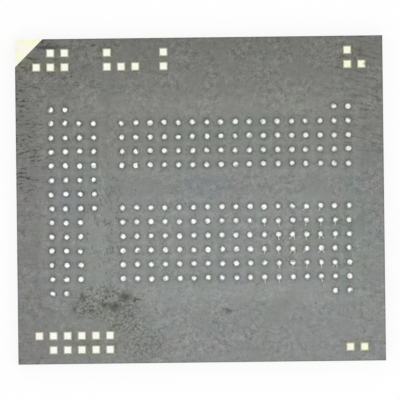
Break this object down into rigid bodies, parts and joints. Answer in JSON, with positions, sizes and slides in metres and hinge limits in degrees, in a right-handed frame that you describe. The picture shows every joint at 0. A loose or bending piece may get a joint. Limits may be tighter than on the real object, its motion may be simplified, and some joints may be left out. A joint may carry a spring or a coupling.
{
  "type": "ball grid array chip",
  "caption": "Flat memory chip package lying on its black mould face: grey-green board with banks of solder balls, small gold test pads and a gold corner mark, for soldering to a circuit board.",
  "frame": {"origin": "centre of the mould face, the face that the package lies on", "axes": "+X along the long side, +Z from the mould face to the balls, corner mark at the -X +Y corner"},
  "size_m": [0.013, 0.0116, 0.001],
  "materials": {
    "solder_mask_board": "satin",
    "mould_compound": "matte",
    "gold_plating": "satin",
    "solder": "satin",
    "silicon": "polished",
    "attach_film": "matte",
    "bond_wire": "gloss"
  },
  "bodies": {
    "root": {"substrate": "solder_mask_board", "corner_mark": "gold_plating", "mould_cap": "mould_compound", "test_pads_upper_left": "gold_plating", "test_pads_upper_middle": "gold_plating", "test_pads_upper_right": "gold_plating", "test_pads_lower_left": "gold_plating", "test_pads_lower_right": "gold_plating", "solder_balls_left_bank": "solder", "solder_balls_upper_bank": "solder", "solder_balls_lower_bank": "solder", "lower_flash_film": "attach_film", "lower_flash_die": "silicon", "upper_flash_film": "attach_film", "upper_flash_die": "silicon", "memory_film": "attach_film", "memory_die": "silicon", "controller_film": "attach_film", "controller_die": "silicon", "flash_bridge_wires": "bond_wire", "flash_board_wires": "bond_wire", "memory_board_wires": "bond_wire", "controller_board_wires": "bond_wire"}
  },
  "joints": []
}
